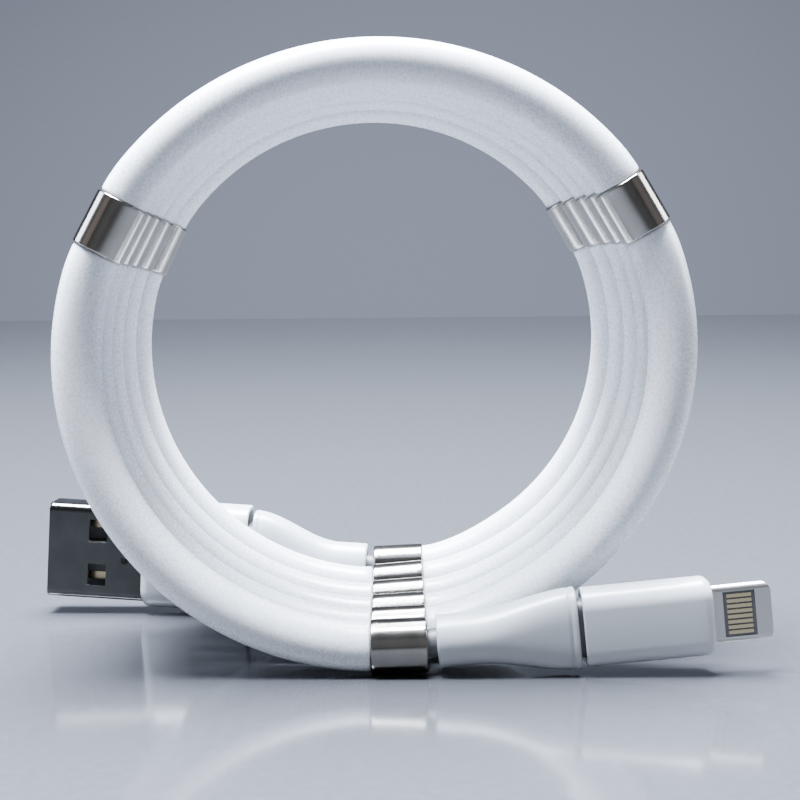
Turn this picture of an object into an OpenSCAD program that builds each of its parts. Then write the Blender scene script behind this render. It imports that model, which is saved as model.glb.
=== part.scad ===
// Magnetic charging cable, wound into a standing hoop of stacked turns.
// +Z is up and the cable stands on z = 0. The hoop's axis lies along Y: the first turn is in
// front, at low Y, and carries the phone plug; the last turn is behind and carries the charger plug.

/* [Hoop] */
// Number of full turns
turns = 5; // [3:1:7]
// Radius of the front turn, to the middle of the cord
hoop_r = 33.4; // [31:0.2:38]
// How much wider and lower than round the first turn settles, on the radius
sag = 0.58; // [0.3:0.02:0.8]
// The same for the last turn, which the others hold up
sag_last = 0.1; // [0:0.02:0.3]
// Angle by which the settled shape leans to the left
sag_lean = 8.5; // [0:0.5:12]
// How much smaller the last turn is than the first, on the radius
draw_in = 2.95; // [2.6:0.05:3.1]
// How late the turns draw in: 1 is evenly, more is towards the last turn
draw_power = 2.85; // [2.5:0.05:3.2]
// Angle by which the foot rings sit to the right of the lowest point
foot_lean = 3.5; // [2:0.5:6]
// How far the feet of the turns flatten on the table, to the right of their rings
settle = 0.35; // [0.2:0.05:0.6]
// Angle by which the right-hand rings sit past an even spacing
right_drift = 3.8; // [0:0.2:5]
// Angle by which each turn falls short of a full one
slip = 0.33; // [0:0.03:0.6]

/* [Cord] */
// Diameter of the soft outer jacket
cord_d = 5.6; // [5.2:0.1:5.7]
// Diameter of the stranded core that runs through the magnets
core_d = 3.2; // [3:0.1:3.4]
// Length of core that each boot grips
grip_len = 6; // [5.7:0.1:6.5]
// Diameter of one insulated wire
wire_d = 0.95; // [0.8:0.05:1]
// Diameter of the braid sleeve where it is pulled back
braid_d = 3.3; // [3.2:0.1:3.6]
// Length of the braid sleeve past the end of the core
braid_len = 3; // [2:0.5:3.5]

/* [Magnet rings] */
// Number of magnet rings in a turn: an odd number makes neighbouring turns attract
rings_per_turn = 3; // [3]
// Outer diameter of a magnet ring
ring_d = 6.2; // [6:0.1:6.5]
// Length of a magnet ring
ring_len = 6.4; // [6:0.1:6.8]
// Bevel on the rims of a magnet ring
ring_bevel = 0.2; // [0.1:0.05:0.4]
// Gap between the rings of neighbouring turns
ring_gap = 0.05; // [0.03:0.01:0.2]

/* [Boots] */
// Diameter of a boot's round mouth
mouth_d = 6; // [5.8:0.1:6.2]
// Share of a boot's length that stays round before it flares
flare_start = 0.25; // [0.15:0.05:0.35]

/* [Phone plug] */
// Length of the flexible boot
phone_boot_len = 16; // [15.6:0.2:17.2]
// Height of the boot where it meets the casing
phone_boot_w = 9.2; // [8.8:0.1:9.4]
// Thickness of the boot where it meets the casing
phone_boot_t = 5.4; // [5.2:0.1:5.7]
// Length of the hard casing
phone_casing_len = 14.7; // [14:0.1:16]
// Height of the casing as it stands on its narrow side
phone_casing_w = 8.9; // [8.7:0.1:9.2]
// Thickness of the casing
phone_casing_t = 5.3; // [5.2:0.1:5.6]
// Wall of the casing
phone_wall = 0.65; // [0.55:0.05:0.7]
// Upward slope of the plug
phone_tilt = 5.4; // [5:0.1:6]
// Angle by which the plug points away from the turn behind it
phone_turn = 2; // [1.5:0.5:4]
// Width of the metal tab
tab_w = 6.7; // [6.5:0.05:6.8]
// Thickness of the metal tab
tab_t = 1.5; // [1.4:0.05:1.6]
// Length of the tab in front of the casing
tab_out = 6.6; // [6.2:0.1:7]
// Length of the tab inside the casing
tab_in = 2.6; // [2:0.1:3]
// Number of contacts on each face of the tab
contact_count = 8; // [8]
// Spacing of those contacts
contact_pitch = 0.6; // [0.55:0.01:0.62]

/* [Charger plug] */
// Length of the flexible boot
charger_boot_len = 15.2; // [14.6:0.2:17]
// Height of the boot where it meets the casing
charger_boot_w = 13; // [12.6:0.1:13.4]
// Thickness of the boot where it meets the casing
charger_boot_t = 6.7; // [6.4:0.1:6.9]
// Length of the hard casing
charger_casing_len = 14; // [13.6:0.1:16]
// How far the casing stands out past each narrow side of the metal sleeve
charger_casing_side = 1; // [0.95:0.05:1.1]
// Thickness of the casing
charger_casing_t = 7.2; // [7:0.1:7.4]
// Wall of the casing
charger_wall = 0.65; // [0.55:0.05:0.65]
// Upward slope of the plug
charger_tilt = 3.6; // [3.4:0.1:4]
// Angle by which the plug points away from the turn in front of it
charger_turn = 4; // [3.5:0.5:6]
// Width of the metal sleeve
sleeve_w = 12; // [11.9:0.05:12.1]
// Thickness of the metal sleeve
sleeve_t = 4.5; // [4.4:0.05:4.6]
// Wall of the metal sleeve
sleeve_wall = 0.3; // [0.25:0.05:0.35]
// Length of the sleeve in front of the casing
sleeve_out = 12.4; // [12:0.1:12.6]
// Length of the sleeve inside the casing
sleeve_in = 6; // [5.8:0.1:6.2]
// Size of a latch window along the plug
window_len = 2.4; // [2:0.1:2.6]
// Size of a latch window across the plug
window_w = 2.9; // [2.4:0.1:3]
// Distance from the sleeve's mouth to the near edge of a window
window_back = 5.3; // [5:0.1:5.6]
// Distance from the plug's middle to the middle of a window
window_side = 2.95; // [2.7:0.05:3.2]
// Thickness of the insulating tongue
tongue_t = 1.85; // [1.7:0.05:1.9]
// Distance from the sleeve's mouth to the tongue's tip
tongue_back = 1.2; // [1:0.1:1.5]
// Width of one contact
pin_w = 1; // [0.9:0.05:1.1]
// Thickness of the contacts
pin_t = 0.2; // [0.15:0.01:0.25]

/* [Clearances] */
// Radial gap between the core and a magnet ring's bore
core_gap = 0.1; // [0.05:0.01:0.15]
// Gap between a magnet ring's face and the jacket's cut end
face_gap = 0.05; // [0.03:0.01:0.08]
// Radial gap between the core and a boot's bore
grip_gap = 0.08; // [0.05:0.01:0.15]
// Space between the end rings and the mouths of the boots
neck_gap = 1.1; // [0.9:0.1:1.3]
// Height of the phone boot's mouth above the cord's line
mouth_rise = 0.3; // [0.1:0.05:0.4]
// Gap between the charger plug's casing and the table it lies on
table_gap = 0.02; // [0.01:0.01:0.05]
// Width of the groove between a boot and its casing
groove = 0.6; // [0.4:0.1:0.8]
// Gap between parts that are stacked inside a plug
fit_gap = 0.08; // [0.05:0.01:0.1]

/* [Hidden] */
$fn = 32;
steps = 24;
sides = 6;
half_step = 0.5 / steps;
ring_every = steps / rings_per_turn;
ring_count = turns * rings_per_turn + 1;
pitch = ring_d + ring_gap;
cord_r = cord_d / 2;
core_r = core_d / 2;
bore_r = core_r + core_gap;

WHITE = [0.93, 0.94, 0.95];
SATIN = [0.84, 0.85, 0.87];
NICKEL = [0.75, 0.74, 0.72];
STEEL = [0.6, 0.61, 0.63];
GOLD = [0.85, 0.68, 0.3];

function ring_name(k) = str("magnet_ring_", k < 9 ? "0" : "", k + 1);

// ---- The path of the hoop: t counts turns, from the phone plug to the charger plug ----

function unit(v) = v / norm(v);
// Angle round the hoop, from the lowest point, clockwise as seen from the front
function angle_at(t) =
    (360 - slip) * t - foot_lean + right_drift * (0.5 - cos(360 * t - 60)) / 1.5;
// Share of the settling that a turn keeps: the front ones lie flat, the last one is held level
function settle_share(t) = t > turns - 0.5 ? 1 : max(0, 1 - t / (turns - 1));
foot_half = 22;
foot_ahead = 9;
foot_middle = foot_lean + foot_ahead;
function foot_bulge(t) =
    let (off = angle_at(t) - 360 * round(t) + slip * t + foot_middle)
    abs(off) < foot_half ? settle * settle_share(round(t)) * (1 + cos(180 * off / foot_half)) / 2 : 0;
function sag_at(t) = sag + (sag_last - sag) * t / turns;
function radius_at(t) =
    hoop_r - sag_at(t) * cos(2 * (angle_at(t) + sag_lean)) - draw_in * pow(max(t, 0) / turns, draw_power)
    + foot_bulge(t);
function raw_point(t) =
    [-radius_at(t) * sin(angle_at(t)), pitch * t, -radius_at(t) * cos(angle_at(t))];
// The first ring lies on the table, which sets the height of the hoop's middle
foot_dir = unit(raw_point(half_step) - raw_point(-half_step));
foot_mid = (raw_point(half_step) + raw_point(-half_step)) / 2;
hoop_z = ring_d / 2 * norm([foot_dir.x, foot_dir.y]) + ring_len / 2 * abs(foot_dir.z) - foot_mid.z;

// ---- Where the plugs sit, and the origin under the middle of the whole cable ----

function path_point(t) = raw_point(t) + [0, 0, hoop_z];
function ring_dir(k) =
    unit(path_point(k / rings_per_turn + half_step) - path_point(k / rings_per_turn - half_step));
function ring_mid(k) =
    (path_point(k / rings_per_turn + half_step) + path_point(k / rings_per_turn - half_step)) / 2;

last = ring_count - 1;
phone_dir = [cos(phone_tilt) * cos(phone_turn), -cos(phone_tilt) * sin(phone_turn), sin(phone_tilt)];
charger_dir = [-cos(charger_tilt) * cos(charger_turn), cos(charger_tilt) * sin(charger_turn),
               sin(charger_tilt)];
phone_casing_x = phone_boot_len + groove;
phone_face_x = phone_casing_x + phone_casing_len;
tab_tip_x = phone_face_x + tab_out;
charger_casing_x = charger_boot_len + groove;
// The casing's height, as it stands on its narrow side
charger_casing_w = sleeve_w + 2 * charger_casing_side;
charger_face_x = charger_casing_x + charger_casing_len;
sleeve_tip_x = charger_face_x + sleeve_out;

phone_mouth = ring_mid(0) - ring_dir(0) * (ring_len + neck_gap) / 2 + phone_dir * neck_gap / 2
    + [0, 0, mouth_rise];
// The heel of the charger plug's casing lies on the table, which sets the height of its boot
charger_mouth_z =
    table_gap + charger_casing_w / 2 * cos(charger_tilt) - charger_casing_x * sin(charger_tilt);
charger_bend = ring_mid(last) + ring_dir(last) * (ring_len + neck_gap) / 2 + charger_dir * neck_gap / 2;
charger_mouth = [charger_bend.x, charger_bend.y, charger_mouth_z];

right_end = phone_mouth.x + phone_dir.x * tab_tip_x;
left_end = charger_mouth.x + charger_dir.x * sleeve_tip_x;
front_end = phone_mouth.y + phone_dir.y * phone_face_x - phone_casing_t / 2;
back_end = charger_mouth.y + charger_dir.y * charger_face_x + charger_casing_t / 2;
middle = [(right_end + left_end) / 2, (front_end + back_end) / 2, 0];

module in_hoop() {
    translate(-middle) children();
}
// A plug's own frame: x runs from the boot's mouth to the plug's tip, y across its thickness
module at_phone_plug() {
    in_hoop() translate(phone_mouth) rotate([0, 0, -phone_turn]) rotate([0, -phone_tilt, 0]) children();
}
module at_charger_plug() {
    in_hoop() translate(charger_mouth) rotate([0, 0, 180 - charger_turn]) rotate([0, -charger_tilt, 0])
        children();
}

// ---- The cord: one unbroken tube that necks down to its core inside each magnet ring ----

// A station is [middle, direction, radius]
neck_half = ring_len / 2 + face_gap;
function neck_in(k) =
    let (c = ring_mid(k) - ring_dir(k) * neck_half, u = ring_dir(k)) [[c, u, cord_r], [c, u, core_r]];
function neck_out(k) =
    let (c = ring_mid(k) + ring_dir(k) * neck_half, u = ring_dir(k)) [[c, u, core_r], [c, u, cord_r]];
function ring_stations(k) = concat(neck_in(k), neck_out(k));
function bend_station(i) =
    let (t = (i + 0.5) / steps)
    [path_point(t), unit(path_point(t + 2 * half_step) - path_point(t - 2 * half_step)), cord_r];
step_count = turns * steps;
stations = concat(
    [[phone_mouth + phone_dir * grip_len, -phone_dir, core_r],
     [phone_mouth, -phone_dir, core_r],
     [ring_mid(0) - ring_dir(0) * neck_half, ring_dir(0), core_r]],
    neck_out(0),
    [for (i = [0:step_count - 1]) each concat(
        [bend_station(i)],
        (i + 1) % ring_every == 0 && i < step_count - 1 ? ring_stations((i + 1) / ring_every) : [])],
    neck_in(last),
    [[ring_mid(last) + ring_dir(last) * neck_half, ring_dir(last), core_r],
     [charger_mouth, charger_dir, core_r],
     [charger_mouth + charger_dir * grip_len, charger_dir, core_r]]);
station_count = len(stations);

// A tube through a list of stations, with flat ends
function rim(s, n) =
    let (across = unit(cross(s[1], [0, 1, 0])), up = cross(s[1], across))
    [for (j = [0:n - 1]) s[0] + s[2] * (cos(360 * j / n) * across + sin(360 * j / n) * up)];
function tube_faces(count, n) = concat(
    [for (i = [0:count - 2], j = [0:n - 1])
        let (a = i * n + j, b = i * n + (j + 1) % n)
        each [[a, b, b + n], [a, b + n, a + n]]],
    [for (j = [1:n - 2]) [0, j + 1, j]],
    [for (j = [1:n - 2]) let (e = (count - 1) * n) [e, e + j, e + j + 1]]);
module tube(list, n) {
    polyhedron([for (s = list) each rim(s, n)], tube_faces(len(list), n), convexity = 12);
}

// Least gap between the cord and itself, from each station to each stretch half a turn or more away
function to_stretch(p, a, b) =
    let (ab = b - a, f = ab * ab > 0 ? max(0, min(1, (p - a) * ab / (ab * ab))) : 0) norm(p - a - f * ab);
middles = [for (i = [0:step_count - 1]) path_point((i + 0.5) / steps)];
route = concat([stations[0][0], phone_mouth], middles, [charger_mouth, stations[station_count - 1][0]]);
least_gap = min([for (i = [0:len(route) - 1], j = [i + steps / 2:1:len(route) - 2])
    to_stretch(route[i], route[j], route[j + 1])]) - cord_d;
cord_length = sum_of([for (i = [0:len(route) - 2]) norm(route[i + 1] - route[i])]);
function sum_of(v, i = 0) = i < len(v) ? v[i] + sum_of(v, i + 1) : 0;
echo(least_gap_mm = least_gap, cord_length_mm = cord_length, hoop_middle_z = hoop_z, middle = middle);
echo(phone_mouth = phone_mouth - middle, charger_mouth = charger_mouth - middle);

module cord_coil() {
    color(WHITE) in_hoop() tube(stations, sides);
}

// ---- Magnet rings ----

// Turns +Z of its children to the direction d
module along(d) {
    rotate([0, acos(d.z / norm(d)), atan2(d.y, d.x)]) children();
}
module magnet_ring(k) {
    h = ring_len / 2;
    r = ring_d / 2;
    b = ring_bevel;
    color(NICKEL) in_hoop() translate(ring_mid(k)) along(ring_dir(k)) rotate_extrude()
        polygon([[bore_r, -h], [r - b, -h], [r, b - h], [r, h - b], [r - b, h], [bore_r, h]]);
}

// ---- Shapes that both plugs share, in a plug's own frame ----

// A box that runs from x = from to x = to, t thick in y and w high in z, with rounded long edges
module bar(from, to, t, w, r) {
    translate([from, 0, 0]) rotate([90, 0, 90]) linear_extrude(to - from) round_rect(t, w, r);
}
module round_rect(t, w, r) {
    square([t - 2 * r, w], center = true);
    square([t, w - 2 * r], center = true);
    for (x = [-1, 1], y = [-1, 1]) translate([x * (t / 2 - r), y * (w / 2 - r)]) circle(r);
}
// The same bar with its corners rounded by r_end where it faces the socket
module nosed_bar(from, to, t, w, r, r_end) {
    intersection() {
        bar(from, to, t, w, r);
        rotate([90, 0, 0]) linear_extrude(2 * t, center = true) {
            translate([from, -w]) square([to - r_end - from, 2 * w]);
            translate([from, r_end - w / 2]) square([to - from, w - 2 * r_end]);
            for (z = [-1, 1]) translate([to - r_end, z * (w / 2 - r_end)]) circle(r_end);
        }
    }
}
// An insulated wire through a list of points, cut square at both ends
wire_sides = 8;
module wire(points) {
    last_point = len(points) - 1;
    tube([for (i = [0:last_point])
        [points[i], unit(points[min(i + 1, last_point)] - points[max(i - 1, 0)]), wire_d / 2]], wire_sides);
}

// The boot's skin: a round mouth that flares into the casing's rounded outline
boot_sides = 20;
boot_steps = 10;
mouth_power = 2;
end_power = 3.2;
function smooth(u) = let (v = max(0, min(1, u))) v * v * (3 - 2 * v);
function blend(a, b, f) = a + (b - a) * f;
function squared(c, n) = sign(c) * pow(abs(c), 2 / n);
function boot_ring(x, f, w, t) =
    let (hw = blend(mouth_d, w, f) / 2, ht = blend(mouth_d, t, f) / 2, n = blend(mouth_power, end_power, f))
    [for (j = [0:boot_sides - 1]) let (a = 360 * j / boot_sides)
        [x, ht * squared(cos(a), n), hw * squared(sin(a), n)]];
module boot_skin(length, w, t) {
    points = [for (i = [0:boot_steps]) let (s = i / boot_steps)
        each boot_ring(s * length, smooth((s - flare_start) / (1 - flare_start)), w, t)];
    last_ring = boot_steps * boot_sides;
    faces = concat(
        [for (i = [0:boot_steps - 1], j = [0:boot_sides - 1])
            let (a = i * boot_sides + j, b = i * boot_sides + (j + 1) % boot_sides)
            each [[a, b + boot_sides, b], [a, a + boot_sides, b + boot_sides]]],
        [[for (j = [0:boot_sides - 1]) j]],
        [[for (j = [0:boot_sides - 1]) last_ring + boot_sides - 1 - j]]);
    polyhedron(points, faces, convexity = 4);
}
// Inside a boot: the core's grip, the hole for the braid and wires, and the pocket of the mould
grip_end = grip_len + 2 * fit_gap;
spigot_edge = 1.2;
wire_hole_d = braid_d + 2 * fit_gap;
module boot_hollow(length, spigot_x, spigot_w, spigot_t) {
    translate([-1, 0, 0]) rotate([0, 90, 0]) cylinder(h = grip_end + 1, d = core_d + 2 * grip_gap);
    translate([grip_len, 0, 0]) rotate([0, 90, 0]) cylinder(h = spigot_x - grip_len + 1, d = wire_hole_d);
    bar(spigot_x, length + 1, spigot_t + 2 * fit_gap, spigot_w + 2 * fit_gap, spigot_edge + fit_gap);
}
braid_wall = 0.3;
module braid() {
    color(STEEL) translate([grip_len + fit_gap, 0, 0]) rotate([0, 90, 0]) difference() {
        cylinder(h = braid_len, d = braid_d);
        translate([0, 0, -1]) cylinder(h = braid_len + 2, d = braid_d - 2 * braid_wall);
    }
}
// Wires leave the core as a square bundle: each one has a side in y and in z
bundle = wire_d * 0.55;
function wire_start(side_y, side_z) = [grip_len + fit_gap, side_y * bundle, side_z * bundle];

// ---- Phone plug ----

// The inner moulding's spigot starts this far past the end of the braid
spigot_room = 0.72;
phone_spigot_x = grip_len + fit_gap + braid_len + spigot_room;
phone_spigot_w = 6.6;
phone_spigot_t = 3.4;
phone_cavity_w = phone_casing_w - 2 * phone_wall;
phone_cavity_t = phone_casing_t - 2 * phone_wall;
phone_front_wall = 1.2;
phone_edge = 1.9;
phone_corner = 1.1;
phone_inner_edge = 1;
mould_in = 3;
can_wall = 0.15;
phone_can_x = phone_casing_x + mould_in + fit_gap;
phone_can_end = phone_face_x - phone_front_wall - fit_gap;
phone_can_w = phone_cavity_w - 2 * fit_gap;
phone_can_t = phone_cavity_t - 2 * fit_gap;
can_edge = 0.8;
tab_start_x = phone_face_x - phone_front_wall - tab_in;
board_t = 0.6;
board_w = phone_can_w - 2 * can_wall - 2 * fit_gap;
board_x = phone_can_x + 0.4;
board_end = tab_start_x - fit_gap;
window_x = phone_face_x + 1.2;
window_h = tab_w - 1.5;
tab_window_len = 3.6;
insert_gap = 0.03;

module phone_boot() {
    color(SATIN) at_phone_plug() difference() {
        boot_skin(phone_boot_len, phone_boot_w, phone_boot_t);
        boot_hollow(phone_boot_len, phone_spigot_x, phone_spigot_w, phone_spigot_t);
    }
}
module phone_casing() {
    color(WHITE) at_phone_plug() difference() {
        nosed_bar(phone_casing_x, phone_face_x, phone_casing_t, phone_casing_w, phone_edge, phone_corner);
        bar(phone_casing_x - 1, phone_face_x - phone_front_wall, phone_cavity_t, phone_cavity_w,
            phone_inner_edge);
        bar(phone_face_x - 2, phone_face_x + 1, tab_t + 2 * fit_gap, tab_w + 2 * fit_gap, tab_t / 2);
    }
}
module phone_inner_mould() {
    color(SATIN) at_phone_plug() difference() {
        union() {
            bar(phone_spigot_x + fit_gap, phone_casing_x + 1, phone_spigot_t, phone_spigot_w,
                spigot_edge);
            bar(phone_casing_x + fit_gap, phone_casing_x + mould_in, phone_cavity_t - 2 * fit_gap,
                phone_cavity_w - 2 * fit_gap, phone_inner_edge - fit_gap);
        }
        rotate([0, 90, 0]) cylinder(h = phone_face_x, d = 2 * bundle * sqrt(2) + wire_d + 0.3);
    }
}
module phone_can() {
    color(STEEL) at_phone_plug() difference() {
        bar(phone_can_x, phone_can_end, phone_can_t, phone_can_w, can_edge);
        bar(phone_can_x - 1, phone_can_end + 1, phone_can_t - 2 * can_wall, phone_can_w - 2 * can_wall,
            can_edge - can_wall);
    }
}
module phone_board() {
    color("darkgreen") at_phone_plug() translate([board_x, -board_t / 2, -board_w / 2])
        cube([board_end - board_x, board_t, board_w]);
}
chip_size = 2.4;
chip_t = 0.7;
module phone_chip() {
    color("black") at_phone_plug()
        translate([board_end - chip_size - 0.8, -board_t / 2 - chip_t, -chip_size / 2])
            cube([chip_size, chip_t, chip_size]);
}
module phone_tab() {
    color(NICKEL) at_phone_plug() difference() {
        nosed_bar(tab_start_x, tab_tip_x, tab_t, tab_w, tab_t / 2 - 0.05, tab_w / 6);
        translate([tab_start_x - 1, -tab_t / 2 + 0.3, -window_h / 2])
            cube([window_x - tab_start_x + 2, tab_t - 0.6, window_h]);
        translate([window_x, -tab_t, -window_h / 2]) cube([tab_window_len, 2 * tab_t, window_h]);
    }
}
module phone_insert() {
    g = insert_gap;
    color([0.25, 0.25, 0.27]) at_phone_plug() {
        translate([tab_start_x + 0.4, -tab_t / 2 + 0.3 + g, -window_h / 2 + g])
            cube([window_x - tab_start_x, tab_t - 0.6 - 2 * g, window_h - 2 * g]);
        translate([window_x + g, -tab_t / 2 + 0.1, -window_h / 2 + g])
            cube([tab_window_len - 2 * g, tab_t - 0.2, window_h - 2 * g]);
    }
}
contact_w = 0.4;
contact_len = 2.8;
contact_t = 0.09;
module phone_contacts(side) {
    color(GOLD) at_phone_plug() for (i = [0:contact_count - 1])
        translate([window_x + (tab_window_len - contact_len) / 2,
                   side * (tab_t / 2 - 0.1 + contact_t / 2) - contact_t / 2,
                   (i - (contact_count - 1) / 2) * contact_pitch - contact_w / 2])
            cube([contact_len, contact_t, contact_w]);
}
phone_pad_z = 1.4;
phone_wire_end = phone_can_x + 3;
wire_gap = 0.03;
function phone_wire_path(side_y, side_z) =
    let (y = side_y * (board_t / 2 + wire_d / 2 + wire_gap))
    [wire_start(side_y, side_z),
     [phone_can_x - 0.2, side_y * bundle, side_z * bundle],
     [phone_can_x + 1.4, y, side_z * phone_pad_z],
     [phone_wire_end, y, side_z * phone_pad_z]];
module phone_wire(name, side_y, side_z) {
    color(name) at_phone_plug() wire(phone_wire_path(side_y, side_z));
}
solder_d = 0.9;
solder_h = 0.35;
solder_taper = 0.5;
// A heap of solder on a square pad, on a face that looks towards +y or -y
module solder_heap(side_y) {
    rotate([-90 * side_y, 0, 0]) linear_extrude(solder_h, scale = solder_taper)
        square(solder_d, center = true);
}
module phone_solder() {
    x = phone_wire_end + wire_gap + solder_d / 2;
    color("silver") at_phone_plug() for (y = [-1, 1], z = [-1, 1])
        translate([x, y * board_t / 2, z * phone_pad_z]) solder_heap(y);
}

// ---- Charger plug ----

charger_spigot_len = 4;
charger_spigot_x = charger_boot_len - charger_spigot_len;
charger_spigot_w = 9.4;
charger_spigot_t = 4.6;
charger_cavity_w = charger_casing_w - 2 * charger_wall;
charger_cavity_t = charger_casing_t - 2 * charger_wall;
charger_front_wall = 1.4;
charger_edge = 2;
charger_corner = 1.2;
charger_inner_edge = 1;
charger_mould_in = 3;
sleeve_edge = 0.6;
sleeve_x = charger_face_x - sleeve_in;
hole_w = sleeve_w - 2 * sleeve_wall;
hole_t = sleeve_t - 2 * sleeve_wall;
charger_can_x = charger_casing_x + charger_mould_in + fit_gap;
charger_can_end = charger_face_x - charger_front_wall - fit_gap;
charger_can_w = sleeve_w + 2 * fit_gap + 2 * can_wall;
charger_can_t = sleeve_t + 2 * fit_gap + 2 * can_wall;
// The tongue fills the sleeve's back half, and its contact face is at y = pin_y
tongue_y = fit_gap / 2 - hole_t / 2;
pin_y = tongue_y + tongue_t;
block_len = 4;
tongue_tip = sleeve_tip_x - tongue_back;
pin_tail_x = sleeve_x - 1.2;
tail_reach = 0.2;
power_back = 0.6;
data_back = 1.6;
pin_places = [-3.5, -1, 1, 3.5];

module charger_boot() {
    color(SATIN) at_charger_plug() difference() {
        boot_skin(charger_boot_len, charger_boot_w, charger_boot_t);
        boot_hollow(charger_boot_len, charger_spigot_x, charger_spigot_w, charger_spigot_t);
    }
}
module charger_casing() {
    color(WHITE) at_charger_plug() difference() {
        nosed_bar(charger_casing_x, charger_face_x, charger_casing_t, charger_casing_w, charger_edge,
                  charger_corner);
        bar(charger_casing_x - 1, charger_face_x - charger_front_wall, charger_cavity_t,
            charger_cavity_w, charger_inner_edge);
        bar(charger_face_x - 2, charger_face_x + 1, sleeve_t + 2 * fit_gap, sleeve_w + 2 * fit_gap,
            sleeve_edge + fit_gap);
    }
}
module charger_inner_mould() {
    color(SATIN) at_charger_plug() difference() {
        union() {
            bar(charger_spigot_x + fit_gap, charger_casing_x + 1, charger_spigot_t, charger_spigot_w,
                spigot_edge);
            bar(charger_casing_x + fit_gap, charger_casing_x + charger_mould_in,
                charger_cavity_t - 2 * fit_gap, charger_cavity_w - 2 * fit_gap,
                charger_inner_edge - fit_gap);
        }
        rotate([0, 90, 0]) cylinder(h = charger_face_x, d = 2 * bundle * sqrt(2) + wire_d + 0.3);
    }
}
module charger_can() {
    color(STEEL) at_charger_plug() difference() {
        bar(charger_can_x, charger_can_end, charger_can_t, charger_can_w, sleeve_edge + can_wall);
        bar(charger_can_x - 1, charger_can_end + 1, charger_can_t - 2 * can_wall,
            charger_can_w - 2 * can_wall, sleeve_edge);
    }
}
module charger_sleeve() {
    window_mid = sleeve_tip_x - window_back - window_len / 2;
    color(NICKEL) at_charger_plug() difference() {
        bar(sleeve_x, sleeve_tip_x, sleeve_t, sleeve_w, sleeve_edge);
        bar(sleeve_x - 1, sleeve_tip_x + 1, hole_t, hole_w, sleeve_edge - sleeve_wall);
        for (z = [-1, 1]) translate([window_mid, 0, z * window_side])
            cube([window_len, 2 * sleeve_t, window_w], center = true);
    }
}
module charger_tongue() {
    color(WHITE) at_charger_plug() difference() {
        union() {
            translate([sleeve_x + 0.3, tongue_y, fit_gap - hole_w / 2])
                cube([tongue_tip - sleeve_x - 0.3, tongue_t, hole_w - 2 * fit_gap]);
            translate([sleeve_x + 0.3, tongue_y, fit_gap - hole_w / 2])
                cube([block_len, hole_t - fit_gap, hole_w - 2 * fit_gap]);
        }
        for (z = pin_places) translate([0, pin_y, z - pin_w / 2 - 0.03])
            cube([sleeve_x + block_len + 1, pin_t + 0.03, pin_w + 0.06]);
    }
}
module charger_contact(z, back) {
    color(GOLD) at_charger_plug() translate([pin_tail_x, pin_y, z - pin_w / 2])
        cube([tongue_tip - back - pin_tail_x, pin_t, pin_w]);
}
function charger_wire_path(side_y, side_z, z) =
    let (y = pin_y + pin_t + wire_d / 2 + wire_gap)
    [wire_start(side_y, side_z),
     [charger_can_x, side_y * bundle, side_z * bundle],
     [pin_tail_x - 0.6, y, z],
     [pin_tail_x + tail_reach, y, z]];
module charger_wire(name, side_y, side_z, z) {
    color(name) at_charger_plug() wire(charger_wire_path(side_y, side_z, z));
}
module charger_solder() {
    x = pin_tail_x + tail_reach + wire_gap + solder_d / 2;
    color("silver") at_charger_plug() for (z = pin_places)
        translate([x, pin_y + pin_t, z]) solder_heap(1);
}

// ---- One line per node ----

cord_coil();
for (k = [0:ring_count - 1]) magnet_ring(k);
phone_boot();
phone_casing();
phone_inner_mould();
phone_can();
phone_board();
phone_chip();
phone_tab();
phone_insert();
phone_contacts(-1);  // phone_contacts_front
phone_contacts(1);  // phone_contacts_back
at_phone_plug() braid();  // phone_braid
phone_wire("red", -1, 1);  // phone_wire_red
phone_wire("white", 1, 1);  // phone_wire_white
phone_wire("green", 1, -1);  // phone_wire_green
phone_wire("black", -1, -1);  // phone_wire_black
phone_solder();
charger_boot();
charger_casing();
charger_inner_mould();
charger_can();
charger_sleeve();
charger_tongue();
charger_contact(pin_places[3], power_back);  // charger_contact_power
charger_contact(pin_places[2], data_back);  // charger_contact_minus
charger_contact(pin_places[1], data_back);  // charger_contact_plus
charger_contact(pin_places[0], power_back);  // charger_contact_ground
at_charger_plug() braid();  // charger_braid
charger_wire("red", 1, 1, pin_places[3]);  // charger_wire_red
charger_wire("white", -1, 1, pin_places[2]);  // charger_wire_white
charger_wire("green", -1, -1, pin_places[1]);  // charger_wire_green
charger_wire("black", 1, -1, pin_places[0]);  // charger_wire_black
charger_solder();
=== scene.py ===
import math

import bpy
import numpy as np
from mathutils import Matrix, Vector


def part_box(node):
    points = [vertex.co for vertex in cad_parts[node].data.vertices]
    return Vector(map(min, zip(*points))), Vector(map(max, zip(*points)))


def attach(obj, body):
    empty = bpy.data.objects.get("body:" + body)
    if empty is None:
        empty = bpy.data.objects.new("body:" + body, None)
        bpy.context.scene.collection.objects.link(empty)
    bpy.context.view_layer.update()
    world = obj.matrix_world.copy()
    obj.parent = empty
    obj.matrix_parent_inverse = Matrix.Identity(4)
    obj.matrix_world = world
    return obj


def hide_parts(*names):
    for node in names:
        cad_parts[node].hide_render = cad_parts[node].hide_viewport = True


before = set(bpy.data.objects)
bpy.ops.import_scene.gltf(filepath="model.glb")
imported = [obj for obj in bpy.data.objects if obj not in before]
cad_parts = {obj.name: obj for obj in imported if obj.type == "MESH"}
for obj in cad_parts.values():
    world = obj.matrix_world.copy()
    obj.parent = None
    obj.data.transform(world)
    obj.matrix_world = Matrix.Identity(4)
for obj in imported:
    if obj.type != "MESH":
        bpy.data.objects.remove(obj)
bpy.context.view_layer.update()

# ---------------------------------------------------------------- camera
# A camera on a low tripod, 170 mm in front of the hoop and just left of its middle,
# looking slightly down and to the right through a long lens.
MM = 0.001
EYE = (-2.11 * MM, -190.29 * MM, 47.7 * MM)
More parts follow.
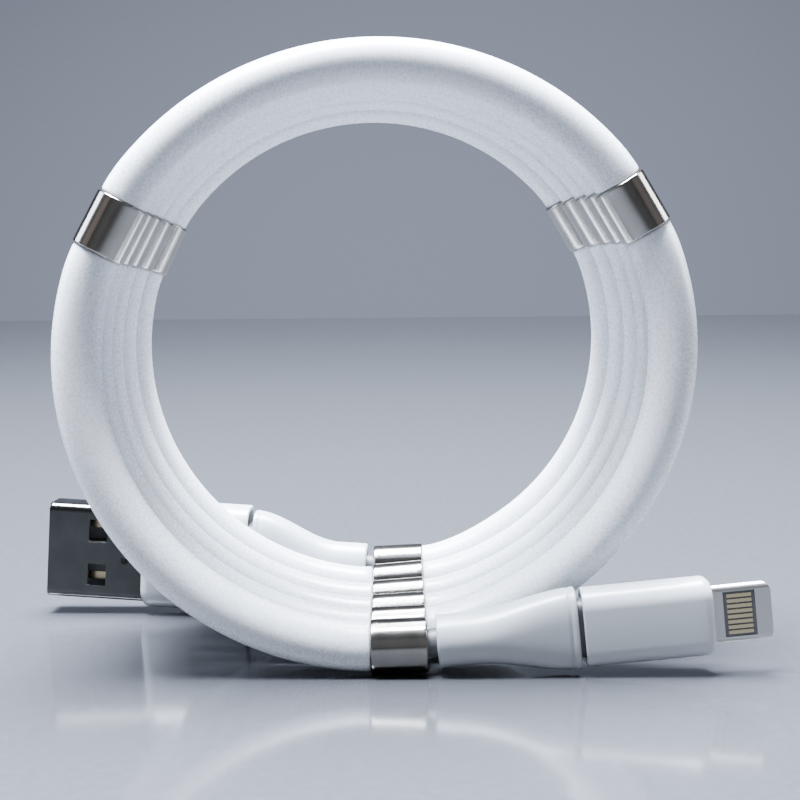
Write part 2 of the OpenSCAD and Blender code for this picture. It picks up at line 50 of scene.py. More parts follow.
LENS = 70.15
TURN_RIGHT = 1.38
LOOK_DOWN = 5.42
ROLL = -0.42

lens = bpy.data.cameras.new("camera")
lens.lens = LENS
lens.sensor_width = 36
lens.clip_start = 0.005
camera = bpy.data.objects.new("camera", lens)
camera.matrix_world = (
    Matrix.Translation(EYE)
    @ Matrix.Rotation(-math.radians(TURN_RIGHT), 4, "Z")
    @ Matrix.Rotation(math.radians(90 - LOOK_DOWN), 4, "X")
    @ Matrix.Rotation(math.radians(ROLL), 4, "Z")
)
bpy.context.collection.objects.link(camera)
bpy.context.scene.camera = camera

# ---------------------------------------------------------------- cord
# The cord is a stranded copper core in a soft, milky silicone rubber jacket, extruded round
# and wound into a standing hoop. The jacket is cut at every magnet ring, where only the core
# runs through, and only the core runs on into the two boots.
TURNS = 5
RINGS_PER_TURN = 3
STEPS = 24
HOOP_R = 33.4
SAG = 0.58
SAG_LAST = 0.1
SAG_LEAN = 8.5
DRAW_IN = 2.95
DRAW_POWER = 2.85
FOOT_LEAN = 3.5
FOOT_AHEAD = 9.0
FOOT_HALF = 22.0
SETTLE = 0.35
RIGHT_DRIFT = 3.8
DRIFT_PHASE = 60.0
SLIP = 0.33
CORD_D = 5.6
CORE_D = 3.2
RING_D = 6.2
RING_LEN = 6.4
FACE_GAP = 0.05
PITCH = RING_D + 0.05
NECK_GAP = 1.1
MOUTH_RISE = 0.3
CHARGER_MOUTH_Z = 6.014
GRIP_LEN = 6.0
PHONE_TILT = 5.4
PHONE_TURN = 2.0
CHARGER_TILT = 3.6
CHARGER_TURN = 4.0
HALF_STEP = 0.5 / STEPS


def unit(v):
    """Vectors of length one in the directions of v."""
    return v / np.linalg.norm(v, axis=-1, keepdims=True)


def hoop_angle(t):
    """Angle round the hoop in degrees after t turns, from its lowest point.

    It runs ahead of an even winding by a cosine that is nought at the foot and fullest on the right.
    """
    foot = math.cos(math.radians(DRIFT_PHASE))
    drift = (foot - np.cos(np.radians(360 * t - DRIFT_PHASE))) / (1 + foot)
    return (360 - SLIP) * t - FOOT_LEAN + RIGHT_DRIFT * drift


def hoop_radius(t):
    """Radius after t turns: the front turn's, less its sag and the draw-in, plus a bulge at its foot.

    The sag goes as cos 2a, the draw-in as a power of t, and the bulge is a raised cosine.
    """
    a = hoop_angle(t)
    turn = np.round(t)
    sag = SAG + (SAG_LAST - SAG) * t / TURNS
    share = np.where(t > TURNS - 0.5, 1.0, np.clip(1 - turn / (TURNS - 1), 0, 1))
    off = a - 360 * turn + SLIP * t + FOOT_LEAN + FOOT_AHEAD
    bulge = SETTLE * share * (1 + np.cos(np.pi * np.clip(off / FOOT_HALF, -1, 1))) / 2
    drawn = DRAW_IN * (np.clip(t, 0, None) / TURNS) ** DRAW_POWER
    return HOOP_R - sag * np.cos(np.radians(2 * (a + SAG_LEAN))) - drawn + bulge


def hoop_point(t, dip=0.0):
    """Point of the cord's middle after t turns: a helix about Y, dip millimetres inside its round."""
    t = np.asarray(t, float)
    a = np.radians(hoop_angle(t))
    r = hoop_radius(t) - dip
    return np.stack([-r * np.sin(a), PITCH * t, -r * np.cos(a)], -1)


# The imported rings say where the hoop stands: ring 1 is at the foot of the front turn
ring_count = TURNS * RINGS_PER_TURN + 1
ring_names = [f"magnet_ring_{k + 1:02d}" for k in range(ring_count)]
ring_mids = np.array([np.mean(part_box(name), axis=0) for name in ring_names]) / MM
ring_t = np.arange(ring_count) / RINGS_PER_TURN
ring_dirs = unit(hoop_point(ring_t + HALF_STEP) - hoop_point(ring_t - HALF_STEP))
chord_mids = (hoop_point(ring_t + HALF_STEP) + hoop_point(ring_t - HALF_STEP)) / 2
hoop_middle = np.mean(ring_mids - chord_mids, axis=0)

CHORD_HALF = RING_LEN / 2 + 0.2
EASE_END = 16.0


def chord_dip(t):
    """How far the line lies inside the round, since at a ring it follows the ring's straight chord.

    There it is the chord's depth less R (1 / cos a - 1). Past the ring a cubic eases it to nought.
    """
    k = np.clip(np.round(t * RINGS_PER_TURN), 0, ring_count - 1) / RINGS_PER_TURN
    off = np.radians(np.abs(hoop_angle(t) - hoop_angle(k)))
    depth = HOOP_R * (1 - math.cos(math.radians(360 * HALF_STEP)))
    start, end = CHORD_HALF / HOOP_R, math.radians(EASE_END)
    edge = depth - HOOP_R * (1 / math.cos(start) - 1)
    slope = -HOOP_R * math.tan(start) * (end - start)
    u = np.clip((off - start) / (end - start), 0, 1)
    eased = (edge * (1 + 2 * u) + slope * u) * (1 - u) ** 2
    return np.where(off < start, depth - HOOP_R * (1 / np.cos(off) - 1), eased)


def spin(tilt, turn):
    """Turns a plug's own axes (x to its tip) into the hoop's: up by tilt, then round Z by turn."""
    rise = Matrix.Rotation(-math.radians(tilt), 3, "Y")
    return np.array(Matrix.Rotation(math.radians(turn), 3, "Z") @ rise)


# Each plug's mouth lies half the neck's gap past the end of its ring's gap, along the plug itself
PHONE_SPIN = spin(PHONE_TILT, -PHONE_TURN)
CHARGER_SPIN = spin(CHARGER_TILT, 180 - CHARGER_TURN)
face_far = RING_LEN / 2 + FACE_GAP
neck_mid = (RING_LEN + NECK_GAP) / 2
phone_mouth = ring_mids[0] - ring_dirs[0] * neck_mid + PHONE_SPIN[:, 0] * NECK_GAP / 2
phone_mouth[2] += MOUTH_RISE
charger_mouth = ring_mids[-1] + ring_dirs[-1] * neck_mid + CHARGER_SPIN[:, 0] * NECK_GAP / 2
charger_mouth[2] = CHARGER_MOUTH_Z

ROUTE_STEPS = 240
CORD_STEP = 0.9


def even(points, step):
    """The same line through evenly spaced points, step apart, and how far along it each one is."""
    far = np.concatenate([[0], np.cumsum(np.linalg.norm(np.diff(points, axis=0), axis=1))])
    at = np.linspace(0, far[-1], int(far[-1] / step) + 1)
    return np.stack([np.interp(at, far, points[:, i]) for i in range(3)], -1), at


def cord_route():
    """Points along the cord: out of the phone plug, round the hoop, and into the charger plug."""
    t = np.linspace(0, TURNS, TURNS * ROUTE_STEPS)
    inside = np.array([[1.0], [0.5], [0.0]]) * GRIP_LEN
    head = phone_mouth + inside * PHONE_SPIN[:, 0]
    tail = charger_mouth + inside[::-1] * CHARGER_SPIN[:, 0]
    first = ring_mids[0] - ring_dirs[0] * face_far
    last = ring_mids[-1] + ring_dirs[-1] * face_far
    hoop = hoop_point(t, chord_dip(t)) + hoop_middle
    return np.concatenate([head, [first], hoop, [last], tail])


def make_mesh(name, points, faces, caps=()):
    """A smooth piece at the origin from points in millimetres, an array of quads and any end caps."""
    mesh = bpy.data.meshes.new(name)
    mesh.from_pydata((points * MM).tolist(), [], faces.tolist() + [cap.tolist() for cap in caps])
    mesh.polygons.foreach_set("use_smooth", np.ones(len(mesh.polygons), bool))
    mesh.update()
    piece = bpy.data.objects.new(name, mesh)
    bpy.context.collection.objects.link(piece)
    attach(piece, "root")
    return piece


def grid_faces(rows, around, closed_rows=False):
    """Quads of a grid whose columns close on themselves, and its rows too if asked."""
    last = rows if closed_rows else rows - 1
    i, j = np.meshgrid(np.arange(last), np.arange(around), indexing="ij")
    i2, j2 = (i + 1) % rows, (j + 1) % around
    quads = [i * around + j, i * around + j2, i2 * around + j2, i2 * around + j]
    return np.stack(quads, -1).reshape(-1, 4)


def tube_grid(middles, radii, around):
    """Circles of the given radii square to a line that turns mostly about Y."""
    ahead = unit(np.gradient(middles, axis=0))
    across = unit(np.cross(ahead, [0, 1, 0]))
    up = np.cross(ahead, across)
    a = np.linspace(0, 2 * np.pi, around, endpoint=False)
    round_it = np.cos(a)[None, :, None] * across[:, None] + np.sin(a)[None, :, None] * up[:, None]
    return middles[:, None] + radii[:, None, None] * round_it


CORD_SIDES = 40
CORD_R = CORD_D / 2
CORE_R = CORE_D / 2
EDGE_R = 0.3
EDGE_STEPS = 5
CUT_SLANT = 0.01
NECK_REACH = 0.6
STATION_GAP = 0.2
BARE_GAP = 1.0
cord_line, cord_far = even(cord_route(), CORD_STEP)

# Where each ring lies along the cord: at the nearest point, and on from it by what is left
ring_at = np.linalg.norm(cord_line[None] - ring_mids[:, None], axis=2).argmin(axis=1)
left_over = np.einsum("ij,ij->i", ring_mids - cord_line[ring_at], ring_dirs)
ring_far = cord_far[ring_at] + left_over


def cord_stations():
    """Distances along the cord and the radius at each: jacket, core, and the cuts between them.

    A cut rounds the jacket's edge by a quarter circle and drops to the core just inside the ring.
    """
    a = np.linspace(0, np.pi / 2, EDGE_STEPS)
    cut_x = np.concatenate([EDGE_R * (1 - np.sin(a)), [-CUT_SLANT, -NECK_REACH]])
    cut_r = np.concatenate([CORD_R - EDGE_R * (1 - np.cos(a)), [CORE_R, CORE_R]])
    away = np.abs(cord_far[:, None] - ring_far).min(axis=1)
    wound = (cord_far > ring_far[0]) & (cord_far < ring_far[-1])
    whole = cord_far[wound & (away > face_far + EDGE_R + STATION_GAP)]
    bare = cord_far[~wound & (away > BARE_GAP)]
    cuts = np.concatenate([ring_far[:-1, None] + face_far + cut_x,
                           ring_far[1:, None] - face_far - cut_x])
    far = np.concatenate([whole, bare, cuts.ravel()])
    radius = np.concatenate([np.full(len(whole), CORD_R), np.full(len(bare), CORE_R),
                             np.tile(cut_r, len(cuts))])
    order = np.argsort(far, kind="stable")
    return far[order], radius[order]


station_far, station_r = cord_stations()
station_mids = np.stack([np.interp(station_far, cord_far, cord_line[:, i]) for i in range(3)], -1)
cord_grid = tube_grid(station_mids, station_r, CORD_SIDES)
corner_ids = np.arange(len(station_far) * CORD_SIDES)
cord_caps = [corner_ids[:CORD_SIDES][::-1], corner_ids[-CORD_SIDES:]]
cord_faces = grid_faces(len(station_far), CORD_SIDES)
cord = make_mesh("cord", cord_grid.reshape(-1, 3), cord_faces, cord_caps)
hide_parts("cord_coil")


def linear(code):
    """A colour written as six sRGB hex digits, as the linear values that shaders use."""
    c = np.array([int(code[i : i + 2], 16) / 255 for i in (0, 2, 4)])
    c = np.where(c <= 0.04045, c / 12.92, ((c + 0.055) / 1.055) ** 2.4)
    return (*c.tolist(), 1.0)


def add_node(tree, kind, inputs=None, **settings):
    """Adds a node, sets its settings, and fills its inputs with values or with other outputs."""
    made = tree.nodes.new(kind)
    for key, value in settings.items():
        setattr(made, key, value)
    for key, value in (inputs or {}).items():
        if isinstance(value, bpy.types.NodeSocket):
            tree.links.new(value, made.inputs[key])
        else:
            made.inputs[key].default_value = value
    return made


# The sockets of a Mix node that mixes colours
MIX_BY, MIX_A, MIX_B, MIX_OUT = 0, 6, 7, 2


def new_material(name, values):
    """A material with one Principled shader: it, its tree, the shader and Object coordinates."""
    mat = bpy.data.materials.new(name)
    mat.use_nodes = True
    tree = mat.node_tree
    shader = next(n for n in tree.nodes if n.type == "BSDF_PRINCIPLED")
    for key, value in values.items():
        shader.inputs[key].default_value = value
    place = add_node(tree, "ShaderNodeTexCoord")
    return mat, tree, shader, place.outputs["Object"]


def finish(tree, shader, tint, rough, relief):
    """Links a material's tint, roughness and relief to its shader.

    rough is a pattern with the roughness at its 0 and at its 1. relief is a pattern with its depth
    in millimetres and its strength.
    """
    tree.links.new(tint, shader.inputs["Base Color"])
    span = add_node(tree, "ShaderNodeMapRange", {
        "Value": rough[0], "To Min": rough[1], "To Max": rough[2]})
    tree.links.new(span.outputs["Result"], shader.inputs["Roughness"])
    bump = add_node(tree, "ShaderNodeBump", {
        "Height": relief[0], "Distance": relief[1] * MM, "Strength": relief[2]})
    tree.links.new(bump.outputs["Normal"], shader.inputs["Normal"])


def frosted_silicone():
    """Milky silicone rubber, extruded and left slightly rough: satin, with depth and fine grit."""
    mat, tree, shader, place = new_material("frosted_silicone_rubber", {
        "IOR": 1.41,
        "Subsurface Weight": 0.2,
        "Subsurface Radius": (1.0, 0.98, 0.96),
        "Subsurface Scale": 0.8 * MM,
        "Specular IOR Level": 0.6,
    })
    grit = add_node(tree, "ShaderNodeTexNoise", {
        "Vector": place, "Scale": 1 / (0.26 * MM), "Detail": 2.0})
    cloud = add_node(tree, "ShaderNodeTexNoise", {
        "Vector": place, "Scale": 1 / (6 * MM), "Detail": 3.0})
    speck = add_node(tree, "ShaderNodeMapRange", {
        "Value": grit.outputs["Fac"], "From Min": 0.36, "From Max": 0.64})
    tone = add_node(tree, "ShaderNodeMix", {
        MIX_BY: speck.outputs["Result"], MIX_A: linear("b3b7bc"), MIX_B: linear("d6d9de")},
        data_type="RGBA")
    shade = add_node(tree, "ShaderNodeMix", {
        MIX_BY: cloud.outputs["Fac"], MIX_A: tone.outputs[MIX_OUT], MIX_B: linear("c8cbd0")},
        data_type="RGBA")
    finish(tree, shader, shade.outputs[MIX_OUT],
           rough=(grit.outputs["Fac"], 0.2, 0.36), relief=(grit.outputs["Fac"], 0.04, 0.35))
    return mat


def core_sheath():
    """Thin grey PVC sheath round the stranded core: dull, smooth, slightly uneven, and darkened with
    painted shade.
    """
    mat, tree, shader, place = new_material("grey_pvc_sheath_painted_shade", {"IOR": 1.53})
    haze = add_node(tree, "ShaderNodeTexNoise", {
        "Vector": place, "Scale": 1 / (0.8 * MM), "Detail": 2.0})
    # Both greys are darkened with painted shade, for the gaps between the end rings and the boots
    # where the core shows
    tone = add_node(tree, "ShaderNodeMix", {
        MIX_BY: haze.outputs["Fac"], MIX_A: linear("3e4042"), MIX_B: linear("505254")},
        data_type="RGBA")
    finish(tree, shader, tone.outputs[MIX_OUT],
           rough=(haze.outputs["Fac"], 0.4, 0.55), relief=(haze.outputs["Fac"], 0.02, 0.2))
    return mat


cord.data.materials.append(frosted_silicone())
cord.data.materials.append(core_sheath())
is_core = np.maximum(station_r[1:], station_r[:-1]) < CORE_R + STATION_GAP
finish_index = np.append(np.repeat(is_core, CORD_SIDES), [1] * len(cord_caps)).astype(int)
cord.data.polygons.foreach_set("material_index", finish_index)

# ---------------------------------------------------------------- magnet rings
# Sixteen tube magnets of sintered neodymium, turned true, barrel-polished and plated with
# bright nickel. Each one is threaded on the core and glued between two lengths of jacket.
RIM_R = 0.2
RIM_STEPS = 7
BELT_STEPS = 6
BORE_R = CORE_R + 0.1
RING_SIDES = 64


def ring_profile():
    """Distance along the axis and radius round the ring's section, with quarter-round outer rims."""
    a = np.linspace(0, np.pi / 2, RIM_STEPS)
    h, r = RING_LEN / 2, RING_D / 2
    back = np.stack([-h + RIM_R * (1 - np.cos(a)), r - RIM_R + RIM_R * np.sin(a)], -1)
    front = np.stack([h - RIM_R + RIM_R * np.sin(a), r - RIM_R + RIM_R * np.cos(a)], -1)
    belt_x = np.linspace(-h + 2 * RIM_R, h - 2 * RIM_R, BELT_STEPS)
    belt = np.stack([belt_x, np.full(BELT_STEPS, r)], -1)
    return np.concatenate([[[-h, BORE_R]], back, belt, front, [[h, BORE_R]]])


def polished_nickel():
    """Bright nickel plate: a warm silver mirror, with a fine grain and a little tarnish."""
    mat, tree, shader, place = new_material("bright_nickel_plate", {"Metallic": 1.0})
    haze = add_node(tree, "ShaderNodeTexNoise", {
        "Vector": place, "Scale": 1 / (2.2 * MM), "Detail": 4.0})
    tone = add_node(tree, "ShaderNodeMix", {
        MIX_BY: haze.outputs["Fac"], MIX_A: linear("8c8882"), MIX_B: linear("a6a39e")},
        data_type="RGBA")
    grain = add_node(tree, "ShaderNodeTexNoise", {
        "Vector": place, "Scale": 1 / (0.2 * MM), "Detail": 1.0})
    finish(tree, shader, tone.outputs[MIX_OUT],
           rough=(haze.outputs["Fac"], 0.11, 0.19), relief=(grain.outputs["Fac"], 0.01, 0.08))
    return mat


nickel = polished_nickel()
profile = ring_profile()
ring_a = np.linspace(0, 2 * np.pi, RING_SIDES, endpoint=False)
ring_faces = grid_faces(len(profile), RING_SIDES, closed_rows=True)
for name, middle, ahead in zip(ring_names, ring_mids, ring_dirs):
    across = unit(np.cross(ahead, [0, 1, 0]))
    up = np.cross(ahead, across)
    round_it = np.cos(ring_a)[:, None] * across + np.sin(ring_a)[:, None] * up
    grid = middle + profile[:, None, :1] * ahead + profile[:, None, 1:] * round_it[None]
    ring_name = name.replace("magnet_ring", "plated_ring")
    ring = make_mesh(ring_name, grid.reshape(-1, 3), ring_faces)
    ring.data.materials.append(nickel)
    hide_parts(name)

# ---------------------------------------------------------------- wires, braid and solder
# Inside each boot the core ends. Its braided shield is pulled back over four insulated wires,
# which fan out to the pads and are soldered there by hand.
BRAID_SLANT = 55.0
BRAID_PITCH = 0.24
WAVES_PER_UNIT = 20
WIRE_COLOURS = {"red": "b3262a", "white": "e3e3de", "green": "2c7a45", "black": "1c1d1f"}


def dress(material, *names):
    """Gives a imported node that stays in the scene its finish."""
    for name in names:
        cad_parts[name].material_slots[0].material = material


def wire_insulation(colour, code):
    """Extruded PVC insulation in a plain code colour: soft gloss, with faint die lines."""
    mat, tree, shader, place = new_material(f"{colour}_pvc_insulation", {"IOR": 1.53})
    haze = add_node(tree, "ShaderNodeTexNoise", {
        "Vector": place, "Scale": 1 / (0.5 * MM), "Detail": 2.0})
    bright = add_node(tree, "ShaderNodeMapRange", {
        "Value": haze.outputs["Fac"], "To Min": 0.85, "To Max": 1.1})
    tone = add_node(tree, "ShaderNodeHueSaturation", {
        "Value": bright.outputs["Result"], "Color": linear(code)})
    finish(tree, shader, tone.outputs["Color"],
           rough=(haze.outputs["Fac"], 0.32, 0.45), relief=(haze.outputs["Fac"], 0.01, 0.2))
    return mat


def tinned_braid():
    """Tinned copper wires of 0.12 mm woven on the slant: dull silver diamonds with dark gaps."""
    mat, tree, shader, place = new_material("tinned_copper_braid", {"Metallic": 1.0})
    slant = math.radians(BRAID_SLANT)
    leant = [add_node(tree, "ShaderNodeMapping", {"Vector": place, "Rotation": (0.0, turn, 0.0)})
             for turn in (slant, -slant)]
    # A Wave texture's bands lie about a 20th of its scale's unit apart
    waves = [add_node(tree, "ShaderNodeTexWave", {
        "Vector": lean.outputs["Vector"], "Scale": 1 / (WAVES_PER_UNIT * BRAID_PITCH * MM)})
        for lean in leant]
    woven = add_node(tree, "ShaderNodeMath", {
        0: waves[0].outputs["Fac"], 1: waves[1].outputs["Fac"]}, operation="MAXIMUM")
    tone = add_node(tree, "ShaderNodeMix", {
        MIX_BY: woven.outputs[0], MIX_A: linear("5d5a56"), MIX_B: linear("c9c8c6")},
        data_type="RGBA")
    finish(tree, shader, tone.outputs[MIX_OUT],
           rough=(woven.outputs[0], 0.5, 0.28), relief=(woven.outputs[0], 0.06, 0.8))
    return mat


def tin_solder():
    """Lead-free solder, melted and set: grey silver, bright with frosty patches."""
    mat, tree, shader, place = new_material("tin_solder", {"Metallic": 1.0})
    frost = add_node(tree, "ShaderNodeTexNoise", {
        "Vector": place, "Scale": 1 / (0.4 * MM), "Detail": 3.0})
    tone = add_node(tree, "ShaderNodeMix", {
        MIX_BY: frost.outputs["Fac"], MIX_A: linear("a8a9aa"), MIX_B: linear("cfd0d0")},
        data_type="RGBA")
    finish(tree, shader, tone.outputs[MIX_OUT],
           rough=(frost.outputs["Fac"], 0.2, 0.5), relief=(frost.outputs["Fac"], 0.02, 0.3))
    return mat


for colour, code in WIRE_COLOURS.items():
    dress(wire_insulation(colour, code), f"phone_wire_{colour}", f"charger_wire_{colour}")
dress(tinned_braid(), "phone_braid", "charger_braid")
dress(tin_solder(), "phone_solder", "charger_solder")

# ---------------------------------------------------------------- boards, shields and inner mouldings
# The phone plug's tab is fed by a small board with one chip. Both plugs have a folded shield of
# tinned steel, and a first moulding of soft grey polyethylene locks wires, shield and boot.


def green_board():
    """Glass-epoxy board under green solder mask: glossy, with the glass weave just showing."""
    mat, tree, shader, place = new_material("solder_masked_board", {"IOR": 1.55, "Coat Weight": 0.3})
    # The weave of 0.5 mm glass bundles
    weave = add_node(tree, "ShaderNodeTexChecker", {"Vector": place, "Scale": 1 / (0.5 * MM)})
    haze = add_node(tree, "ShaderNodeTexNoise", {
        "Vector": place, "Scale": 1 / (0.7 * MM), "Detail": 2.0})
    tone = add_node(tree, "ShaderNodeMix", {
        MIX_BY: weave.outputs["Fac"], MIX_A: linear("1d5436"), MIX_B: linear("215c3c")},
        data_type="RGBA")
    finish(tree, shader, tone.outputs[MIX_OUT],
           rough=(haze.outputs["Fac"], 0.22, 0.34), relief=(weave.outputs["Fac"], 0.01, 0.1))
    return mat


def black_epoxy():
    """Black epoxy transfer-moulded round a chip: matt, finely pitted by its glass filler."""
    mat, tree, shader, place = new_material("black_epoxy_moulding", {"IOR": 1.55})
    pits = add_node(tree, "ShaderNodeTexNoise", {
        "Vector": place, "Scale": 1 / (0.1 * MM), "Detail": 2.0})
    tone = add_node(tree, "ShaderNodeMix", {
        MIX_BY: pits.outputs["Fac"], MIX_A: linear("17181a"), MIX_B: linear("26272a")},
        data_type="RGBA")
    finish(tree, shader, tone.outputs[MIX_OUT],
           rough=(pits.outputs["Fac"], 0.5, 0.7), relief=(pits.outputs["Fac"], 0.01, 0.3))
    return mat


def tinned_steel():
    """Cold-rolled steel sheet with a thin coat of tin: soft mirror, drawn out along the rolling."""
    mat, tree, shader, place = new_material("tinned_steel_sheet", {"Metallic": 1.0})
    drawn = add_node(tree, "ShaderNodeMapping", {"Vector": place, "Scale": (0.1, 1.0, 1.0)})
    grain = add_node(tree, "ShaderNodeTexNoise", {
        "Vector": drawn.outputs["Vector"], "Scale": 1 / (0.15 * MM), "Detail": 3.0})
    tone = add_node(tree, "ShaderNodeMix", {
        MIX_BY: grain.outputs["Fac"], MIX_A: linear("adb0b2"), MIX_B: linear("c8cacb")},
        data_type="RGBA")
    finish(tree, shader, tone.outputs[MIX_OUT],
           rough=(grain.outputs["Fac"], 0.22, 0.38), relief=(grain.outputs["Fac"], 0.01, 0.2))
    return mat


def soft_polyethylene():
    """Grey polyethylene, moulded at low pressure: waxy and dull, with a little depth, and darkened
    with painted shade.
    """
    mat, tree, shader, place = new_material("soft_polyethylene_painted_shade", {
        "IOR": 1.51,
        "Subsurface Weight": 0.3,
        "Subsurface Radius": (1.0, 0.95, 0.88),
        "Subsurface Scale": 0.8 * MM,
    })
    haze = add_node(tree, "ShaderNodeTexNoise", {
        "Vector": place, "Scale": 1 / (1.5 * MM), "Detail": 3.0})
    # Both greys are darkened with painted shade, for the narrow groove between boot and casing where
    # the moulding shows
    tone = add_node(tree, "ShaderNodeMix", {
        MIX_BY: haze.outputs["Fac"], MIX_A: linear("3c3d3f"), MIX_B: linear("4a4b4d")},
        data_type="RGBA")
    finish(tree, shader, tone.outputs[MIX_OUT],
           rough=(haze.outputs["Fac"], 0.38, 0.52), relief=(haze.outputs["Fac"], 0.03, 0.2))
    return mat


dress(green_board(), "phone_board")
dress(black_epoxy(), "phone_chip")
dress(tinned_steel(), "phone_can", "charger_can")
dress(soft_polyethylene(), "phone_inner_mould", "charger_inner_mould")

# ---------------------------------------------------------------- phone tab
# The tab that enters the phone is a nickel-plated stainless frame, milled and tumbled, with an
# eight-contact insert of dark liquid-crystal polymer pressed into its window from both sides.


def satin_nickel():
    """Satin nickel on tumbled stainless steel: pale warm grey, soft mirror, evenly fine."""
    mat, tree, shader, place = new_material("satin_nickel_plate", {"Metallic": 1.0})
    fine = add_node(tree, "ShaderNodeTexNoise", {
        "Vector": place, "Scale": 1 / (0.14 * MM), "Detail": 2.0})
    tone = add_node(tree, "ShaderNodeMix", {
        MIX_BY: fine.outputs["Fac"], MIX_A: linear("a9a8a6"), MIX_B: linear("bdbbb8")},
        data_type="RGBA")
    finish(tree, shader, tone.outputs[MIX_OUT],
           rough=(fine.outputs["Fac"], 0.24, 0.36), relief=(fine.outputs["Fac"], 0.01, 0.15))
    return mat


def dark_polymer():
    """Glass-filled liquid-crystal polymer: dark grey, matt, with short pale glass flecks."""
    mat, tree, shader, place = new_material("dark_glass_filled_polymer", {"IOR": 1.6})
    flecks = add_node(tree, "ShaderNodeTexNoise", {
        "Vector": place, "Scale": 1 / (0.12 * MM), "Detail": 3.0})
    tone = add_node(tree, "ShaderNodeMix", {
        MIX_BY: flecks.outputs["Fac"], MIX_A: linear("2f3133"), MIX_B: linear("47494c")},
        data_type="RGBA")
    finish(tree, shader, tone.outputs[MIX_OUT],
           rough=(flecks.outputs["Fac"], 0.42, 0.6), relief=(flecks.outputs["Fac"], 0.01, 0.2))
    return mat


def gold_flash():
    """A thin flash of gold over nickel on stamped copper: pale gold, bright, faintly grained."""
    mat, tree, shader, place = new_material("gold_flashed_contact", {"Metallic": 1.0})
    grain = add_node(tree, "ShaderNodeTexNoise", {
        "Vector": place, "Scale": 1 / (0.12 * MM), "Detail": 2.0})
    tone = add_node(tree, "ShaderNodeMix", {
        MIX_BY: grain.outputs["Fac"], MIX_A: linear("a8987a"), MIX_B: linear("c4b594")},
        data_type="RGBA")
    finish(tree, shader, tone.outputs[MIX_OUT],
           rough=(grain.outputs["Fac"], 0.16, 0.28), relief=(grain.outputs["Fac"], 0.01, 0.1))
    return mat


polymer = dark_polymer()
gold = gold_flash()
dress(satin_nickel(), "phone_tab")
dress(polymer, "phone_insert")
dress(gold, "phone_contacts_front", "phone_contacts_back")

# ---------------------------------------------------------------- charger tongue and sleeve
# The charger plug's four stamped contacts lie in grooves of a polymer tongue. Round it goes the
# sleeve, a strip of bright stainless steel folded to a flat tube, locked by a dovetail seam at the
# back and punched with four latch windows and a dimple that grips the tongue.
SLEEVE_TIP = 42.2
SLEEVE_LEN = 18.4
SLEEVE_W = 12.0
SLEEVE_T = 4.5
SLEEVE_R = 0.6
SLEEVE_STEPS = 70
FLAT_STEPS = 45
THIN_STEPS = 9
CORNER_STEPS = 7
SHEET = 0.3
SHEET_EDGE = 0.04
EDGE_ANGLE = 50.0
TINY = 0.01
MOUTH_LEN = 0.25
MOUTH_MARK = 0.12
MOUTH_IN = 0.03
WINDOW_X = (SLEEVE_TIP - 7.7, SLEEVE_TIP - 5.3)
WINDOW_Z = (1.5, 4.4)
DIMPLE = (SLEEVE_TIP - 10.2, -0.6)
DIMPLE_R = 0.25
DIMPLE_DEPTH = 0.3
SEAM_HALF = 0.05
SEAM_DEPTH = 0.03
SEAM_PITCH = 4.6
SEAM_SWAY = 0.12
SEAM_SHARP = 3.0


def sleeve_outline():
    """Thickness and height round the sleeve: flats with lines at the windows, and round corners."""
    reach_z, reach_y = SLEEVE_W / 2 - SLEEVE_R, SLEEVE_T / 2 - SLEEVE_R
    even_z = np.linspace(-reach_z, reach_z, FLAT_STEPS)
    marks = np.array([0.0, SEAM_HALF, *WINDOW_Z])
    z = np.unique(np.round(np.concatenate([even_z, marks, -marks]), 4))
    y = np.linspace(reach_y, -reach_y, THIN_STEPS)[1:-1]
    a = np.linspace(0, np.pi / 2, CORNER_STEPS)
    corner = SLEEVE_R * np.stack([np.cos(a), np.sin(a)], -1)
    front = np.stack([np.full(len(z), SLEEVE_T / 2), z], -1)[:-1]
    up_front = corner + [reach_y, reach_z]
    top = np.stack([y, np.full(len(y), SLEEVE_W / 2)], -1)
    up_back = ((corner * [-1, 1])[::-1] + [-reach_y, reach_z])[:-1]
    half = np.concatenate([front, up_front, top, up_back])
    return np.concatenate([half, -half])


def sleeve_points():
    """A straight tube of that outline, turned in at its mouth, with a dent and a seam pressed in.

    The dent is a bell curve. The seam is a groove that sways as a clipped sine, like a dovetail.
    """
    across = sleeve_outline()
    back_of_tip = np.linspace(0, SLEEVE_LEN, SLEEVE_STEPS)
    marks = [*(SLEEVE_TIP - np.array(WINDOW_X)), MOUTH_MARK, MOUTH_LEN]
    x = SLEEVE_TIP - np.unique(np.round(np.concatenate([back_of_tip, marks]), 4))
    grid = np.empty((len(x), len(across), 3))
    grid[..., 0] = x[:, None]
    grid[..., 1:] = across
    lip = np.clip(1 - (SLEEVE_TIP - x) / MOUTH_LEN, 0, 1)[:, None, None] ** 2
    grid[..., 1:] *= 1 - MOUTH_IN * lip * [1.0, SLEEVE_T / SLEEVE_W]
    front = grid[..., 1] > SLEEVE_T / 2 - TINY
    far2 = (grid[..., 0] - DIMPLE[0]) ** 2 + (grid[..., 2] - DIMPLE[1]) ** 2
    grid[..., 1] -= np.where(front, DIMPLE_DEPTH * np.exp(-far2 / DIMPLE_R**2 / 2), 0)
    off_seam = np.abs(grid[..., 2])
    seam = (grid[..., 1] < -SLEEVE_T / 2 + TINY) & (off_seam < SEAM_HALF + TINY)
    wave = np.sin(2 * np.pi * (SLEEVE_TIP - x) / SEAM_PITCH)[:, None]
    grid[..., 1] += np.where(seam & (off_seam < TINY), SEAM_DEPTH, 0)
    grid[..., 2] += np.where(seam, SEAM_SWAY * np.clip(SEAM_SHARP * wave, -1, 1), 0)
    return grid


